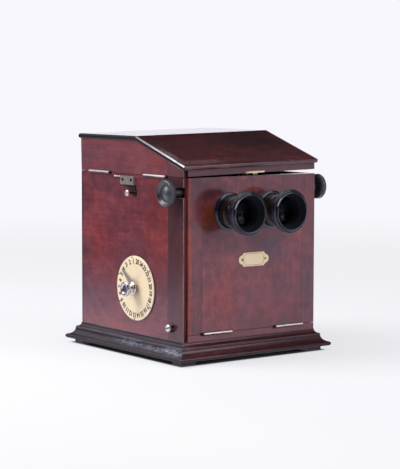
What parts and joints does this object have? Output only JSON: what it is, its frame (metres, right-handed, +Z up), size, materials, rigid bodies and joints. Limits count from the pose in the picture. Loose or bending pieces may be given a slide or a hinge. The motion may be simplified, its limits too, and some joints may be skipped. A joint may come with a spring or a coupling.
{
  "type": "tabletop stereo viewer",
  "caption": "Wooden tabletop viewer with twin eyepieces, a hinged lid and front door, focus knobs, a numbered slide selector and a crank that lifts slides into view.",
  "frame": {"origin": "on the table, below the centre of the whole viewer's box", "axes": "+X to the right as the viewer's user sees it, +Y from the eyepieces to the back, +Z up"},
  "size_m": [0.2372, 0.2736, 0.2698],
  "materials": {
    "varnished_mahogany": "glossy",
    "dark_mahogany": "glossy",
    "inside_wood": "matte",
    "black_wood": "satin",
    "brass": "satin",
    "aged_brass": "dull",
    "steel": "satin",
    "black_lacquered_brass": "glossy",
    "cream_dial": "glossy",
    "ground_glass": "matte",
    "lens_glass": "polished"
  },
  "bodies": {
    "case": {"base_board": "inside_wood", "base_moulding_front": "varnished_mahogany", "base_moulding_back": "varnished_mahogany", "base_moulding_sides": "varnished_mahogany", "corner_feet": "black_wood", "left_side_panel": "varnished_mahogany", "right_side_panel": "varnished_mahogany", "side_stiles": "dark_mahogany", "back_panel": "varnished_mahogany", "ground_glass": "ground_glass", "glass_beads": "dark_mahogany", "bottom_rail": "varnished_mahogany", "gate_board": "black_wood", "lift_guides": "brass", "light_baffle": "black_wood", "septum": "black_wood", "tray_runners": "inside_wood", "spindle_bushes": "brass", "hinge_fixed_leaves": "aged_brass", "hinge_pins": "steel", "dial_disc": "cream_dial", "dial_nails": "steel", "release_plate": "aged_brass", "release_leaf": "aged_brass", "keeper_wire": "steel", "side_collar": "black_lacquered_brass", "side_screws": "steel"},
    "lid": {"lid_side_walls": "varnished_mahogany", "lid_side_stiles": "dark_mahogany", "lid_rails": "varnished_mahogany", "lid_boards": "varnished_mahogany", "lid_catch": "aged_brass", "lid_hinge_leaves": "aged_brass"},
    "door": {"door_panel": "varnished_mahogany", "door_stiles": "dark_mahogany", "door_hinge_leaves": "aged_brass", "nameplate": "brass", "nameplate_nails": "brass", "eyepiece_flanges": "black_lacquered_brass", "focus_bearings": "brass"},
    "lens_slide": {"eyepiece_tubes": "black_lacquered_brass", "eyecups": "black_lacquered_brass", "eyepiece_lenses": "lens_glass", "lens_carriage": "brass", "focus_rack": "brass"},
    "focus_control": {"focus_shaft": "steel", "focus_gear": "brass", "focus_knobs": "black_lacquered_brass"},
    "selector": {"selector_spindle": "steel", "selector_pointer": "steel", "selector_knob": "black_lacquered_brass", "selector_gear": "brass"},
    "tray": {"slide_tray": "inside_wood", "tray_rack": "brass"},
    "crank": {"crank_spindle": "steel", "crank_arm": "brass", "crank_knob": "black_lacquered_brass", "lift_gear": "brass"},
    "lift": {"lift_frame": "brass"},
    "button": {"release_button": "black_lacquered_brass"}
  },
  "joints": [
    {"name": "lid_hinge", "type": "hinge", "parent": "case", "child": "lid", "pos_m": [-0.101, 0, 0.2195], "axis": [0, -1, 0], "range_deg": [-1.1, 88]},
    {"name": "door_hinge", "type": "hinge", "parent": "case", "child": "door", "pos_m": [0, -0.098, 0.03415], "axis": [1, 0, 0], "range_deg": [0, 85]},
    {"name": "focus_turn", "type": "hinge", "parent": "door", "child": "focus_control", "pos_m": [0, -0.0833, 0.2019], "axis": [1, 0, 0], "range_deg": [-45, 90]},
    {"name": "lens_slide_travel", "type": "slide", "parent": "door", "child": "lens_slide", "axis": [0, 1, 0], "range_m": [-0.00314, 0.00628]},
    {"name": "selector_turn", "type": "hinge", "parent": "case", "child": "selector", "pos_m": [0, -0.0006, 0.0815], "axis": [-1, 0, 0], "range_deg": [-43.2, 302.4]},
    {"name": "tray_travel", "type": "slide", "parent": "case", "child": "tray", "axis": [0, 1, 0], "range_m": [-0.01055, 0.07388]},
    {"name": "crank_turn", "type": "hinge", "parent": "case", "child": "crank", "pos_m": [0, -0.01095, 0.15], "axis": [1, 0, 0], "range_deg": [0, 360]},
    {"name": "lift_travel", "type": "slide", "parent": "case", "child": "lift", "axis": [0, 0, 1], "range_m": [0, 0.0628]},
    {"name": "release_press", "type": "slide", "parent": "case", "child": "button", "axis": [1, 0, 0], "range_m": [0, 0.004], "stiffness_N_per_m": 300, "springref_m": -0.003}
  ],
  "couplings": [
    {"joint": "focus_turn", "follows": "lens_slide_travel", "rad_per_m": 250},
    {"joint": "selector_turn", "follows": "tray_travel", "rad_per_m": 71.429},
    {"joint": "crank_turn", "follows": "lift_travel", "rad_per_m": 100}
  ]
}
